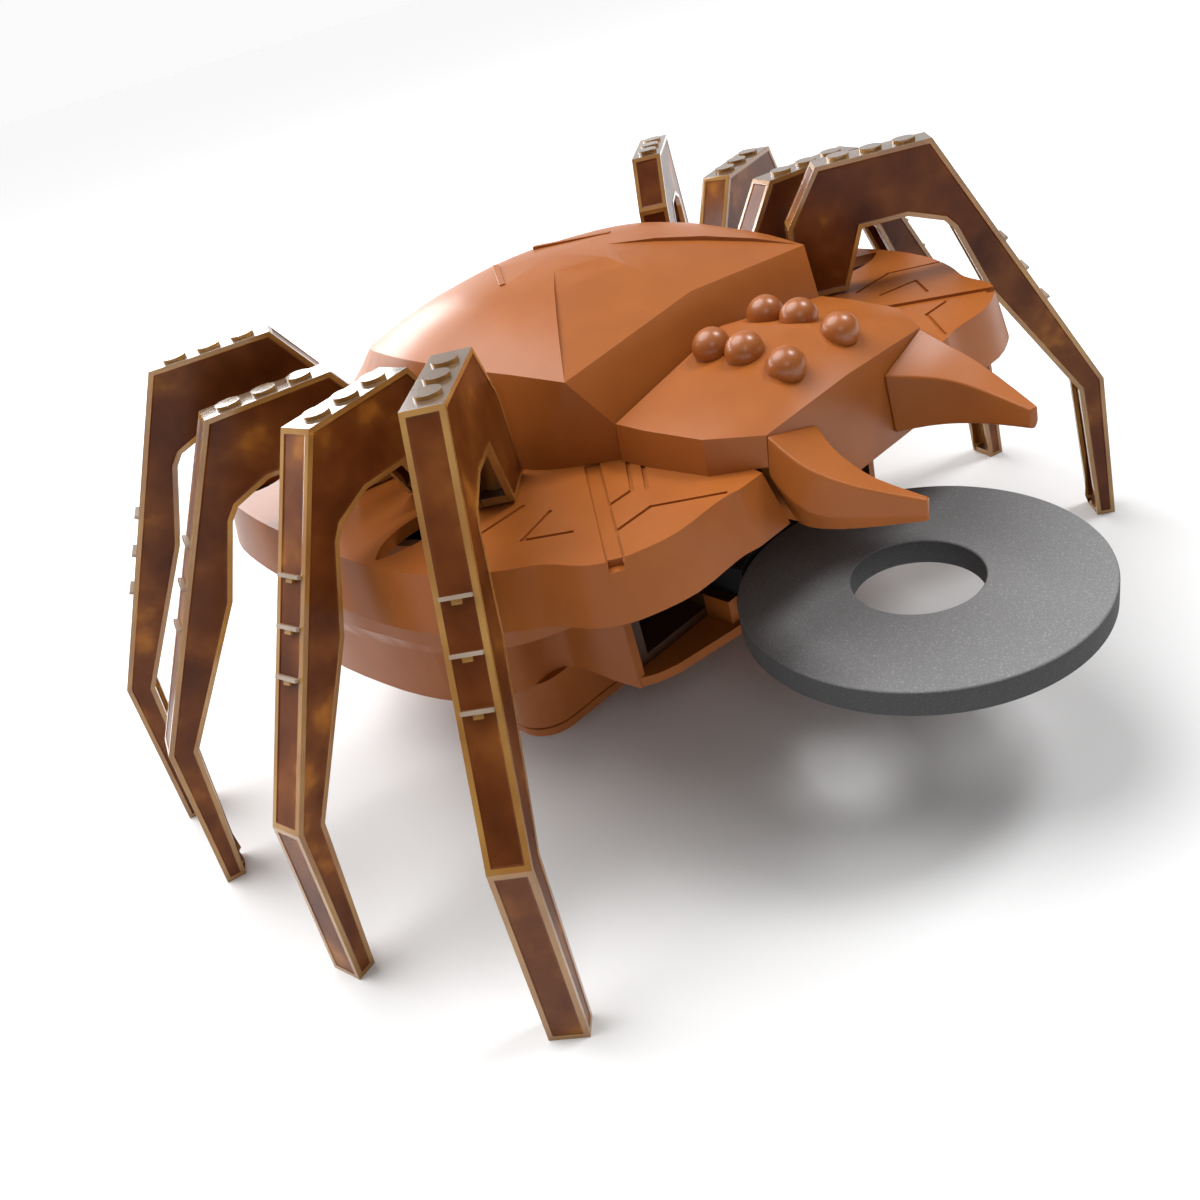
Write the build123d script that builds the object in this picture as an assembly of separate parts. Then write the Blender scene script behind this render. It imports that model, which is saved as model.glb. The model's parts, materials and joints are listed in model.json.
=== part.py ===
"""Eight-legged walking spider robot that pushes a foam ring out of its mouth.

Millimetres, +Z up, the head looks along -Y, the feet stand on Z = 0.
The origin lies on the ground under the middle of the whole footprint.
"""
import os
from math import atan2, cos, degrees, radians, sin

from build123d import *

# ---------------------------------------------------------------- frame
FRAME_SHIFT_Y = 15.4       # body layout is drawn about its own middle, then moved back by this

# ---------------------------------------------------------------- levels
DECK_TOP = 52.0
DECK_SKIN = 1.8
SKIRT_BOTTOM = 44.4
HULL_TOP = 44.2
HULL_STEP_HIGH = 33.0      # where the flanks reach their full width
HULL_STEP_LOW = 27.5       # where the narrow lower hull ends
HULL_BOTTOM = 18.0
POD_BOTTOM = 7.4
POD_SEAM = 9.0
SEAM_WIDE = 0.4
DOOR_LIP, DOOR_LIP_WALL = 1.5, 1.2
WALL = 1.6
GAP = 0.1                  # play between pieces that slide or sit side by side

# ---------------------------------------------------------------- foam ring
RING_R = 25.0
RING_HOLE_R = 9.0
RING_THICK = 3.95
RING_Z = 23.78
RING_Y = -57.9
LAUNCH_STROKE = 50.0

# ---------------------------------------------------------------- legs
LEG_WIDTH = 5.4
LEG_SKIN = 1.1             # top and outer wall of the channel
LEG_CHEEK = 0.9            # side plates of the channel
LEG_HEEL = 52.4            # underside of the strut, just over the deck
POST_R = 2.4
POST_PLAY = 0.05
BUSHING_WALL, BUSHING_GAP = 1.8, 0.4       # bushing round a post, and its gap to the crank
PIVOT_INSET = 1.4          # pivot stands this far inboard of the leg's top inner corner
LEVER_REACH = 5.0
LEVER_THICK = 2.0
LEVER_TOP = 44.2
PIN_R = 1.0
PIN_PLAY = 0.06
PIN_BOSS = 0.8              # wall round a pin at the end of a crank or horn
POST_STEP = 0.8             # the post is this much slimmer inside its crank
CRANK_BOSS_R = 3.3
# inner top corner (x, y) of the +X legs, front to rear, and their rest headings
LEG_ROOTS = ((36.8, -19.9), (38.7, -7.4), (41.9, 5.7), (41.1, 21.6))
LEG_HEADINGS = (-44.4, -15.8, 15.6, 31.2)
LEG_SWINGS = (-1.3, -2.8, 0.1, 8.2)     # step taken at rest, same turn on both sides
LEG_LIFTS = (1.0, -1.6, -1.6, 2.8)      # how much higher each pair arches than the drawn outline
# side view of a leg: (reach, height)
ARCH_TOP_IN, ARCH_TOP_OUT = (0.0, 71.7), (17.9, 71.8)
KNEE_OUT, KNEE_IN = (43.7, 26.8), (39.7, 25.4)
FOOT_OUT, FOOT_IN = (46.2, 0.0), (43.1, 0.0)
STRUT_IN_HIGH, STRUT_IN_LOW, STRUT_OUT_LOW = (-5.4, 63.2), (-5.7, LEG_HEEL), (3.0, LEG_HEEL)
WINDOW = ((6.2, 60.8), (13.4, 61.0), (18.9, 59.0), (20.4, 57.3), (25.4, 46.0))
STUD_R, STUD_HIGH, STUD_FIRST, STUD_PITCH, STUD_COUNT = 1.75, 0.55, 3.9, 5.1, 3
RUNG_HEIGHTS = (54.6, 49.0, 43.4)
RUNG_LONG, RUNG_PROUD = 0.5, 0.6
PEG_LONG, PEG_WIDE, PEG_PROUD = 0.6, 1.2, 0.35         # small peg under the middle of each rung

# ---------------------------------------------------------------- deck plan, +X half
DECK_PLAN = (
    (0, -46.4), (17.8, -46.4), (18.6, -50.4), (22.8, -50.4), (26.2, -49.8), (33.8, -50.0),
    (39.4, -48.3), (42.2, -46.6), (44.0, -44.2), (45.8, -39.6), (49.0, -35.8), (51.8, -31.8),
    (54.4, -26.4), (56.4, -19.0), (57.4, -8.0), (57.6, 6.0), (57.2, 18.0), (55.6, 28.0),
    (50.6, 38.0), (42.0, 46.0), (29.0, 50.6), (0, 52.0),
)
DECK_SHARP = 3             # outline is drawn with straight edges up to this point, flowing after it
SKIRT_FLARE = 1.8
# x, y, heading, length
SLOTS = ((47.8, -15.4, -10.0, 15.4), (51.0, 8.4, 14.0, 10.4), (51.0, 27.2, 22.0, 9.6))
SLOT_WIDE = 6.2
GROOVE_WIDE, GROOVE_DEEP = 0.55, 0.35
GROOVES = (
    ((22.6, -30.4), (28.2, -37.0), (32.4, -37.0)), ((22.2, -32.9), (27.0, -38.5)),
    ((36.6, -42.6), (30.4, -42.5), (24.2, -49.2)),
    ((37.2, -25.4), (45.8, -25.6), (52.8, -33.0)), ((36.6, -30.3), (43.2, -32.5), (39.0, -37.2)),
)
BAND = ((25.6, -26.6), (40.8, -46.8))      # shallow strip across the deck wing, ends in a rim notch
BAND_WIDE, BAND_DEEP = 2.2, 0.45
NOTCH_AT, NOTCH_WIDE, NOTCH_BITE = (41.4, -47.4), 1.8, 1.2       # on the rim, where the strip ends
NOTCH_DEEP = 1.4

# ---------------------------------------------------------------- hull plan, +X half
HULL_LOW = (
    (0, -30), (30.3, -30), (31.0, -25.0), (31.3, -19.0), (32.0, -15.8), (34.5, -14.3), (38.7, -14.2),
    (41.2, -12.9), (45.5, -8.5), (48.8, -2.5), (51.5, 10), (52.4, 27), (45.6, 38.6), (28.6, 47.0),
    (0, 49.8),
)
HULL_MIDDLE = (
    (0, -30), (30.3, -30), (31.0, -25.0), (31.3, -19.0), (32.0, -15.8), (34.5, -14.3), (38.7, -14.2),
    (42.0, -13.4), (47.6, -10.5), (51.3, -4.0), (54, 8), (53.6, 26), (46.4, 38.6), (29, 47.2), (0, 50.0),
)
HULL_HIGH = (
    (0, -30), (31, -30), (34.5, -28.5), (39, -26.8), (45, -22.6), (50.2, -13.0), (52.6, -2.0),
    (54, 8), (53.6, 26), (46.4, 38.6), (29, 47.2), (0, 50.0),
)
HULL_SHARP = 2
LIP_PLAN = (
    (0, -35.6), (8, -35.3), (14, -34.5), (20, -33.5), (24.6, -32.7), (27.7, -31.5), (30.0, -29.8),
    (30.0, -28.4),
)
LIP_TOP = 19.6
MOUTH_HALF = 28.9
MOUTH_FLOOR = 21.2
MOUTH_TOP = 33.0
POD_HALF, POD_FRONT, POD_BACK, POD_ROUND = 40.5, -15.5, 36.0, 6.0
POD_BAY_HALF = 24.0

# ---------------------------------------------------------------- dome (x, y, z), +X half
DOME_FOOT = (
    (0, -29.6), (22.4, -29.4), (26.8, -23.6), (29.5, -18.6), (31.4, -8.0), (33.0, 4.0),
    (32.6, 16.0), (28.8, 30.0), (20.0, 41.6), (0, 46.8),
)
DOME_SKIRT = (
    (0, -28.9, 61.2), (22.4, -29.3, 57.4), (26.4, -24.2, 57.6), (29.2, -18.4, 57.2), (31.0, -8.0, 57.2),
    (32.5, 4.0, 57.2), (32.1, 16.0, 57.0), (28.4, 29.6, 56.8), (19.7, 41.1, 56.4), (0, 46.3, 56.2),
)
DOME_SHOULDER = (
    (0, -25.2, 66.4), (25.4, -25.4, 64.0), (25.4, -25.4, 64.0), (27.2, -17.0, 64.9), (28.6, -8.0, 65.4),
    (29.0, 4.0, 65.6), (27.6, 15.0, 65.0), (23.4, 28.0, 63.2), (15.0, 38.6, 60.6), (0, 42.6, 59.6),
)
CROWN = ((0, -9.2, 71.0), (11.6, 2.2, 70.5), (4.2, 13.4, 70.2), (0, 14.2, 70.2))
CROWN_PEAK = (0, 3.0, 71.3)
# where on the crown's edge each shoulder point leans: 0 to 3 are its corners
CROWN_REST = (0, 0.5, 0.5, 0.75, 0.95, 1.15, 1.35, 1.6, 1.95, 3.0)
CROWN_LIFT = 0.35
RIB_WIDE, RIB_SUNK = 0.9, 0.8
DOME_BULGE = 1.3           # how far the flanks swell above a straight line to the crown
DOME_SHARP = 2             # rings are straight up to this point, flowing after it
FLOW_STEPS = 3
FLANK_STEPS = 4
DOME_WALL = 1.7
DOME_MIDDLE = 8.0          # y of the middle of its base

# ---------------------------------------------------------------- head (x, y, z), +X half
HEAD_SIDE = ((22.4, -29.7, 57.3), (22.3, -35.0, 57.1), (21.2, -44.0, 56.7), (16.7, -50.3, 56.1))
HEAD_FOOT = ((22.9, -29.7), (22.8, -35.0), (21.8, -44.4), (17.2, -50.3))
HEAD_CREST = ((0, -29.7, 61.6), (0, -41.7, 62.1), (0, -50.3, 56.6))
HEAD_WALL = 1.5
HEAD_HALF = 20.0           # mean half width, used to thin its sides
CHIN = ((13.9, 42.5), (17.2, DECK_TOP))        # +X half of the chin plate: (x, z)
CHIN_THICK = 1.6
EYES = ((5.77, -33.07, 61.3), (5.77, -38.9, 61.2), (5.73, -45.4, 59.7))
EYE_R = 2.65
FANG_STEPS = 3
# sections of the +X fang, root to tip: ridge, inner top, inner bottom, keel, outer edge
FANG = (
    ((16.7, -50.4, 56.0), (7.4, -50.4, 53.0), (8.6, -50.4, 44.2), (13.9, -50.4, 42.5), (17.5, -50.4, 51.0)),
    ((17.1, -53.9, 54.0), (9.8, -54.1, 52.3), (10.8, -54.1, 44.6), (15.5, -53.3, 43.2), (18.0, -53.6, 48.7)),
    ((17.0, -57.4, 52.5), (11.4, -57.7, 51.5), (12.1, -57.7, 44.9), (15.8, -57.2, 43.9), (17.6, -57.4, 47.0)),
    ((15.6, -62.2, 50.8), (12.1, -62.2, 50.2), (12.3, -62.2, 45.4), (14.9, -61.8, 44.7), (15.9, -62.2, 46.9)),
    ((12.5, -69.0, 48.9), (11.5, -68.6, 48.7), (11.5, -68.4, 46.2), (12.2, -68.8, 45.8), (12.7, -69.0, 47.0)),
)

# ---------------------------------------------------------------- inside
TRAY_IN, TRAY_WALL, TRAY_BACK = 26.2, 1.5, 32.0
TRAY_CEILING = 34.6
RAIL_X, RAIL_WIDE, RAIL_TOP, RAIL_FRONT = 12.0, 2.0, 23.7, -33.6
PUSHER_HALF, PUSHER_BACK, PUSHER_LOW, PUSHER_TOP = 10.7, -22.0, 21.35, 28.6
PUSHER_HUG = 2.4            # how far its hollow front reaches round the ring
LEDGE_OUT, LEDGE_TOP = 30.6, 39.5
BAR_LOW, BAR_THICK, BAR_IN, BAR_OUT = 39.65, 2.1, 28.1, 38.2
BAR_FRONT, BAR_BACK, BAR_LUG = -22.4, 24.2, 2.7
SLOT_LONG = 3.4
SERVO_X, SERVO_Y = 38.0, 2.0
SERVO_WIDE, SERVO_LONG, SERVO_TOP, SERVO_OFFSET = 11.8, 22.5, 35.8, 5.2
HORN_LOW, HORN_THICK, SHAFT_R = 36.8, 1.8, 1.5
SHAFT_DEEP, HORN_HUB_R = 2.8, 2.7
CELL_COUNT = 4
CELL_R, CELL_LONG, CELL_PITCH, CELL_Z, CELL_FRONT = 5.2, 44.4, 11.2, 14.3, -12.4
CELL_TIP, CELL_TIP_R = 1.0, 1.9
PLATE_WIDE, PLATE_TALL, SPRING_R = 7.0, 6.0, 2.6
BOARD_HALF, BOARD_FRONT, BOARD_BACK, BOARD_Z, BOARD_THICK = 22.0, -18.0, 14.0, 36.2, 1.6
BOARD_INSET, BOARD_POST_R = 3.0, 2.0
# x, y, then size
BOARD_PARTS = ((-10, -8, 9, 9, 1.2), (8, -10, 6, 4, 1.0), (12, 6, 7, 5, 3.5), (-12, 8, 5, 7, 2.4))
SCREW_R, SCREW_HEAD_R, SCREW_HEAD = 1.25, 2.2, 1.6
SCREW_SUNK, SCREW_BITE, SCREW_END_GAP = 0.4, 4.5, 1.0
HULL_SCREWS = ((44.8, 30.8), (18.0, 42.6))
BOSS_R, BOSS_TOP = 2.9, 44.0
SWITCH_Z, SWITCH_HALF, SWITCH_TALL, SWITCH_PLAY = 38.0, 4.0, 4.0, 1.5
SWITCH_RIM, SWITCH_LONG, SWITCH_SET_BACK = 1.5, 5.0, 0.6
KNOB_DEEP, KNOB_PROUD = 2.0, 1.2

os.makedirs("parts", exist_ok=True)


def put(node, *solids):
    """Move a finished piece, or a group of loose solids, into the shared frame and write it."""
    moved = [Pos(0, FRAME_SHIFT_Y, 0) * solid for solid in solids]
    export_step(moved[0] if len(moved) == 1 else Compound(moved), f"parts/{node}.step")


# ================================================================ helpers
def both_halves(half):
    """Close a half outline (front centre to rear centre) into a full loop."""
    return list(half) + [(-p[0], *p[1:]) for p in reversed(half) if p[0] != 0]


def grown(loop, amount):
    """Offset a counter-clockwise loop outwards by the same distance all round."""
    out, count = [], len(loop)
    for i in range(count):
        (ax, ay), (bx, by), (cx, cy) = loop[i - 1], loop[i], loop[(i + 1) % count]
        ux, uy, vx, vy = bx - ax, by - ay, cx - bx, cy - by
        lu, lv = (ux * ux + uy * uy) ** 0.5, (vx * vx + vy * vy) ** 0.5
        n1x, n1y, n2x, n2y = uy / lu, -ux / lu, vy / lv, -vx / lv
        mx, my = n1x + n2x, n1y + n2y
        scale = 2 * amount / (mx * mx + my * my)
        out.append((bx + mx * scale, by + my * scale))
    return out


def ring_face(loop, z):
    return Face(Wire.make_polygon([(x, y, z) for x, y in loop]))


def stack(*levels):
    """Ruled solid through (loop, z) levels that share their point count."""
    body = None
    for (low, z_low), (high, z_high) in zip(levels, levels[1:]):
        piece = Solid.make_loft([Wire.make_polygon([(x, y, z_low) for x, y in low]),
                                 Wire.make_polygon([(x, y, z_high) for x, y in high])], True)
        body = piece if body is None else body + piece
    return body


def slab(loop, z_low, z_high):
    return extrude(ring_face(loop, z_low), amount=z_high - z_low, dir=(0, 0, 1))


def block(x0, x1, y0, y1, z0, z1):
    return Pos((x0 + x1) / 2, (y0 + y1) / 2, (z0 + z1) / 2) * Box(x1 - x0, y1 - y0, z1 - z0)


def rod(x, y, z0, z1, radius):
    return Pos(x, y, (z0 + z1) / 2) * Cylinder(radius, z1 - z0)


def facets(loops):
    """Closed solid from triangulated point loops."""
    faces = []
    for loop in loops:
        for i in range(1, len(loop) - 1):
            faces.append(Face(Wire.make_polygon([loop[0], loop[i], loop[i + 1]])))
    return Solid(Shell(faces))


def mirrored(shape):
    return mirror(shape, about=Plane.YZ)


def blend(before, start, end, after, t):
    """Point between start and end on a smooth curve that also heeds its neighbours."""
    return tuple(0.5 * (2 * b + (c - a) * t + (2 * a - 5 * b + 4 * c - d) * t ** 2
                        + (3 * b - a - 3 * c + d) * t ** 3)
                 for a, b, c, d in zip(before, start, end, after))


def flowing(half, first, steps):
    """Half outline whose points from the first index on are joined by a smooth curve."""
    points = [tuple(p) for p in half]
    beyond = (-points[-2][0], *points[-2][1:])
    out = points[:first]
    for i in range(first, len(points) - 1):
        before = points[i - 1] if i > first else points[i]
        after = points[i + 2] if i + 2 < len(points) else beyond
        out += [blend(before, points[i], points[i + 1], after, k / steps) for k in range(steps)]
    return out + [points[-1]]


# ================================================================ legs
def leg_axis(index, side):
    """Root corner, heading and pivot of a leg; side is +1 for the robot's left (+X), else -1."""
    x, y = LEG_ROOTS[index]
    neutral = LEG_HEADINGS[index] if side > 0 else 180 - LEG_HEADINGS[index]
    heading = neutral + LEG_SWINGS[index]
    px = side * x - PIVOT_INSET * cos(radians(heading))
    py = y - PIVOT_INSET * sin(radians(heading))
    return side * x, y, heading, px, py


def side_plate(points, y_low, y_high):
    """Slab of a side-view outline (reach, height) between two y planes."""
    face = Face(Wire.make_polygon([(r, y_low, z) for r, z in points]))
    return extrude(face, amount=y_high - y_low, dir=(0, 1, 0))


def inset_path(path, depth):
    """Open path moved to its right-hand side by a constant depth."""
    normals = []
    for (ax, az), (bx, bz) in zip(path, path[1:]):
        length = ((bx - ax) ** 2 + (bz - az) ** 2) ** 0.5
        normals.append(((bz - az) / length, -(bx - ax) / length))
    moved = []
    for i, (x, z) in enumerate(path):
        n1, n2 = normals[max(i - 1, 0)], normals[min(i, len(normals) - 1)]
        mx, mz = n1[0] + n2[0], n1[1] + n2[1]
        scale = 2 * depth / (mx * mx + mz * mz)
        moved.append((x + mx * scale, z + mz * scale))
    return moved


def lifted(point, lift):
    """Side-view point raised with the arch: nothing at the foot, half at the knee, all above the deck."""
    share = max(0.0, min(1.0, point[1] / LEG_HEEL))
    return point[0], point[1] + lift * share


def leg_blank(lift):
    """One leg in its own frame: root corner on the z axis, reach along +x."""
    half = LEG_WIDTH / 2
    drawn = (STRUT_IN_HIGH, ARCH_TOP_IN, ARCH_TOP_OUT, KNEE_OUT, FOOT_OUT, FOOT_IN)
    arch = [lifted(p, lift) for p in drawn]
    wall_path = [STRUT_IN_LOW] + arch
    window = [lifted(p, lift) for p in reversed(WINDOW)]
    outline = wall_path + [lifted(KNEE_IN, lift)] + window + [STRUT_OUT_LOW]
    (top_out_x, top_out_z), (knee_x, knee_z) = arch[2], arch[3]
    body = side_plate(wall_path + list(reversed(inset_path(wall_path, LEG_SKIN))), -half, half)
    for low in (-half, half - LEG_CHEEK):
        body += side_plate(outline, low, low + LEG_CHEEK)
    heel_top = LEG_HEEL + LEG_SKIN
    body += block(STRUT_IN_LOW[0], STRUT_OUT_LOW[0], -half, half, LEG_HEEL, heel_top)
    body += rod(-PIVOT_INSET, 0, LEG_HEEL, WINDOW[0][1] + lift, half - LEG_CHEEK / 2)
    for i in range(STUD_COUNT):
        top = arch[1][1]
        body += rod(STUD_FIRST + i * STUD_PITCH, 0, top - LEG_SKIN / 2, top + STUD_HIGH, STUD_R)
    slope = (knee_x - top_out_x) / (knee_z - top_out_z)
    lean = degrees(atan2(top_out_z - knee_z, knee_x - top_out_x))
    for height in RUNG_HEIGHTS:
        reach = top_out_x + slope * (height - top_out_z)
        rung = Box(RUNG_LONG, LEG_WIDTH, 2 * RUNG_PROUD)
        rung += Pos((RUNG_LONG + PEG_LONG) / 2, 0, 0) * Box(PEG_LONG, PEG_WIDE, 2 * PEG_PROUD)
        body += Pos(reach, 0, height) * Rot(0, lean, 0) * rung
    post_low = LEVER_TOP - LEVER_THICK
    body += rod(-PIVOT_INSET, 0, LEVER_TOP, heel_top, POST_R)
    body += rod(-PIVOT_INSET, 0, post_low, LEVER_TOP, POST_R - POST_STEP)
    return body


def lever(px, py, reach):
    """Crank under a leg post, its pin pointing down; reach is signed along x."""
    low = LEVER_TOP - LEVER_THICK
    half = PIN_R + PIN_BOSS
    body = rod(px, py, low, LEVER_TOP, CRANK_BOSS_R) + rod(px + reach, py, low, LEVER_TOP, half)
    x0, x1 = sorted((px, px + reach))
    body += block(x0, x1, py - half, py + half, low, LEVER_TOP)
    body += rod(px + reach, py, BAR_LOW + GAP, low, PIN_R)
    return body - rod(px, py, low, LEVER_TOP, POST_R - POST_STEP)


def lever_reach(index, side):
    """First and third legs hang inboard of their post, the others outboard."""
    return -side * LEVER_REACH if index % 2 == 0 else side * LEVER_REACH


SIDES = (("left", 1), ("right", -1))
LEG_COUNT = len(LEG_ROOTS)
leg_protos = [leg_blank(lift) for lift in LEG_LIFTS]
pivots = {}
for side_name, side in SIDES:
    for index in range(LEG_COUNT):
        x, y, heading, px, py = leg_axis(index, side)
        pivots[side_name, index] = (px, py)
        put(f"leg_{side_name}_{index + 1}", Pos(x, y, 0) * Rot(0, 0, heading) * leg_protos[index])
        put(f"crank_{side_name}_{index + 1}", lever(px, py, lever_reach(index, side)))

# ================================================================ deck
deck_loop = both_halves(flowing(DECK_PLAN, DECK_SHARP, FLOW_STEPS))
deck = stack((grown(deck_loop, SKIRT_FLARE), SKIRT_BOTTOM), (deck_loop, DECK_TOP))
deck_under = DECK_TOP - DECK_SKIN
deck -= stack((grown(deck_loop, SKIRT_FLARE - WALL), SKIRT_BOTTOM), (grown(deck_loop, -WALL), deck_under))
for px, py in pivots.values():
    deck += rod(px, py, LEVER_TOP + BUSHING_GAP, deck_under, POST_R + BUSHING_WALL)
for x, y in HULL_SCREWS:
    for s in (1, -1):
        deck += rod(s * x, y, BOSS_TOP, deck_under, BOSS_R)
        deck -= rod(s * x, y, BOSS_TOP, deck_under - SCREW_END_GAP, SCREW_R)
for px, py in pivots.values():
    deck -= rod(px, py, SKIRT_BOTTOM, DECK_TOP, POST_R + POST_PLAY)


def almond(x, y, heading, long, wide):
    """Pointed slot: two arcs that meet at both ends."""
    radius = (long * long / 4 + wide * wide / 4) / wide
    shift = radius - wide / 2
    disc = Cylinder(radius, 3 * DECK_SKIN)
    lens = Pos(0, shift, 0) * disc & Pos(0, -shift, 0) * disc
    return Pos(x, y, DECK_TOP) * Rot(0, 0, heading) * lens


def along(start, end, wide, deep):
    """Bar on the deck's top face from one plan point to another."""
    (ax, ay), (bx, by) = start, end
    bar = Box(((bx - ax) ** 2 + (by - ay) ** 2) ** 0.5 + wide, wide, 2 * deep)
    return Pos((ax + bx) / 2, (ay + by) / 2, DECK_TOP) * Rot(0, 0, degrees(atan2(by - ay, bx - ax))) * bar


def groove(path):
    """Fine channel along a polyline on the deck's top face."""
    cut = None
    for start, end in zip(path, path[1:]):
        bar = along(start, end, GROOVE_WIDE, GROOVE_DEEP)
        cut = bar if cut is None else cut + bar
    return cut


for x, y, heading, long in SLOTS:
    slot = almond(x, y, heading, long, SLOT_WIDE)
    deck -= slot
    deck -= mirrored(slot)
for path in GROOVES:
    cut = groove(path)
    deck -= cut
    deck -= mirrored(cut)
cut = along(*BAND, BAND_WIDE, BAND_DEEP)
x, y = NOTCH_AT
bite = Box(2 * NOTCH_BITE, NOTCH_WIDE, 2 * NOTCH_DEEP)
cut += Pos(x, y, DECK_TOP) * Rot(0, 0, degrees(atan2(y, x))) * bite
deck -= cut
deck -= mirrored(cut)
put("upper_deck", deck)

# ================================================================ hull
low_loop, mid_loop, high_loop = (both_halves(flowing(plan, HULL_SHARP, FLOW_STEPS))
                                 for plan in (HULL_LOW, HULL_MIDDLE, HULL_HIGH))
low_in, mid_in, high_in = (grown(loop, -WALL) for loop in (low_loop, mid_loop, high_loop))
ledge = HULL_STEP_HIGH + WALL
floor = HULL_BOTTOM + WALL
hull = stack((low_loop, HULL_BOTTOM), (low_loop, HULL_STEP_LOW), (mid_loop, HULL_STEP_HIGH),
             (mid_loop, ledge))
hull += slab(high_loop, HULL_STEP_HIGH, deck_under)
hull -= stack((low_in, floor), (low_in, HULL_STEP_LOW), (mid_in, HULL_STEP_HIGH), (mid_in, ledge))
hull -= slab(high_in, ledge, deck_under)
lip_loop = both_halves(LIP_PLAN)
hull += slab(lip_loop, HULL_BOTTOM, LIP_TOP)
rail_in, rail_out = RAIL_X - RAIL_WIDE / 2, RAIL_X + RAIL_WIDE / 2
for x0, x1 in ((-rail_out, -rail_in), (rail_in, rail_out)):
    hull += block(x0, x1, RAIL_FRONT, LIP_PLAN[-1][1], LIP_TOP, RAIL_TOP)
front_y = HULL_LOW[0][1]
hull -= block(-MOUTH_HALF, MOUTH_HALF, front_y - 1, front_y + WALL + 1, RAIL_TOP, MOUTH_TOP)
for x0, x1 in ((-MOUTH_HALF, -rail_out), (rail_out, MOUTH_HALF), (-rail_in, rail_in)):
    hull -= block(x0, x1, front_y - 1, front_y + WALL, LIP_TOP, RAIL_TOP)
pod_y, pod_long = (POD_FRONT + POD_BACK) / 2, POD_BACK - POD_FRONT


def pod_slab(inset, z_low, z_high):
    plan = RectangleRounded(2 * (POD_HALF - inset), pod_long - 2 * inset, POD_ROUND - inset)
    return extrude(Plane(origin=(0, pod_y, z_low)) * plan, amount=z_high - z_low)


pod_low = POD_SEAM + SEAM_WIDE
hull += pod_slab(0, pod_low, HULL_BOTTOM) - pod_slab(WALL, pod_low, HULL_BOTTOM)
hull -= block(-POD_BAY_HALF, POD_BAY_HALF, POD_FRONT + WALL, POD_BACK - WALL, HULL_BOTTOM, floor)
for s in (1, -1):
    bay_wall = s * POD_BAY_HALF
    hull += block(bay_wall - WALL / 2, bay_wall + WALL / 2, POD_FRONT + WALL, POD_BACK - WALL,
                  POD_SEAM + DOOR_LIP + 0.5, floor)
    for x, y in HULL_SCREWS:
        hull += rod(s * x, y, floor, BOSS_TOP, BOSS_R)
        hull -= rod(s * x, y, HULL_BOTTOM, BOSS_TOP, SCREW_R + GAP)
        hull -= rod(s * x, y, HULL_BOTTOM, HULL_BOTTOM + SCREW_SUNK + SCREW_HEAD, SCREW_HEAD_R + GAP)
back_y = HULL_HIGH[-1][1]
switch_low, switch_high = SWITCH_Z - SWITCH_TALL / 2, SWITCH_Z + SWITCH_TALL / 2
hull -= block(-SWITCH_HALF, SWITCH_HALF, back_y - 2 * WALL, back_y + 1, switch_low, switch_high)
put("lower_shell", hull)

door = pod_slab(GAP, POD_BOTTOM, POD_SEAM)
door += pod_slab(WALL + GAP, POD_SEAM, POD_SEAM + DOOR_LIP)
door -= pod_slab(WALL + GAP + DOOR_LIP_WALL, POD_SEAM, POD_SEAM + DOOR_LIP)
put("battery_door", door)

# ================================================================ screws, cells and contacts
screws = []
for x, y in HULL_SCREWS:
    for s in (1, -1):
        head_low = HULL_BOTTOM + SCREW_SUNK
        screws.append(rod(s * x, y, head_low, head_low + SCREW_HEAD, SCREW_HEAD_R)
                      + rod(s * x, y, head_low + SCREW_HEAD, BOSS_TOP + SCREW_BITE, SCREW_R))
put("hull_screws", *screws)

cells, contacts = [], []
bay_front, bay_back = POD_FRONT + WALL, POD_BACK - WALL
cell_back = CELL_FRONT + CELL_LONG
jacket_back = cell_back - CELL_TIP
lying = Rot(90, 0, 0)
for k in range(CELL_COUNT):
    x = (k - (CELL_COUNT - 1) / 2) * CELL_PITCH
    jacket = Cylinder(CELL_R, CELL_LONG - CELL_TIP)
    tip = Cylinder(CELL_TIP_R, CELL_TIP)
    cells.append(Pos(x, (CELL_FRONT + jacket_back) / 2, CELL_Z) * lying * jacket
                 + Pos(x, (jacket_back + cell_back) / 2, CELL_Z) * lying * tip)
    plate = Box(PLATE_WIDE, CELL_FRONT - bay_front, PLATE_TALL)
    spring = Cylinder(SPRING_R, bay_back - cell_back)
    contacts.append(Pos(x, (bay_front + CELL_FRONT) / 2, CELL_Z) * plate)
    contacts.append(Pos(x, (cell_back + bay_back) / 2, CELL_Z) * lying * spring)
put("battery_cells", *cells)
put("battery_contacts", *contacts)

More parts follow.
